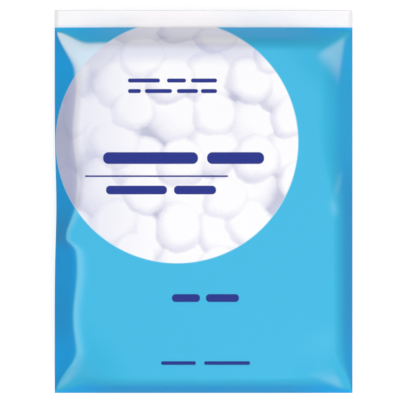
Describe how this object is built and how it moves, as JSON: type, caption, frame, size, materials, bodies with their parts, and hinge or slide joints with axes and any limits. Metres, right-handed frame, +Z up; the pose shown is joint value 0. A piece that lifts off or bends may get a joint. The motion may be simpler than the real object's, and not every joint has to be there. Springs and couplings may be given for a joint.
{
  "type": "cotton ball pack",
  "caption": "Filled film pouch lying on its back, swollen by cotton balls: welded sides, folded foot, printed front and a press-to-close zipper between clear lips at its head.",
  "frame": {"origin": "on the surface that the pack lies on, under the middle of its bounding box", "axes": "+X across the pack, to the right on its printed front; +Y from its foot to its zipper; +Z up, out of its printed front"},
  "size_m": [0.165, 0.212, 0.0384],
  "materials": {
    "printed_film": "glossy printed film, blue with a white disc",
    "zipper_plastic": "milky extruded plastic"
  },
  "bodies": {
    "root": {"filled_pouch": "printed_film", "zipper_rib_strip": "zipper_plastic", "zipper_jaw_strip": "zipper_plastic"}
  },
  "joints": []
}
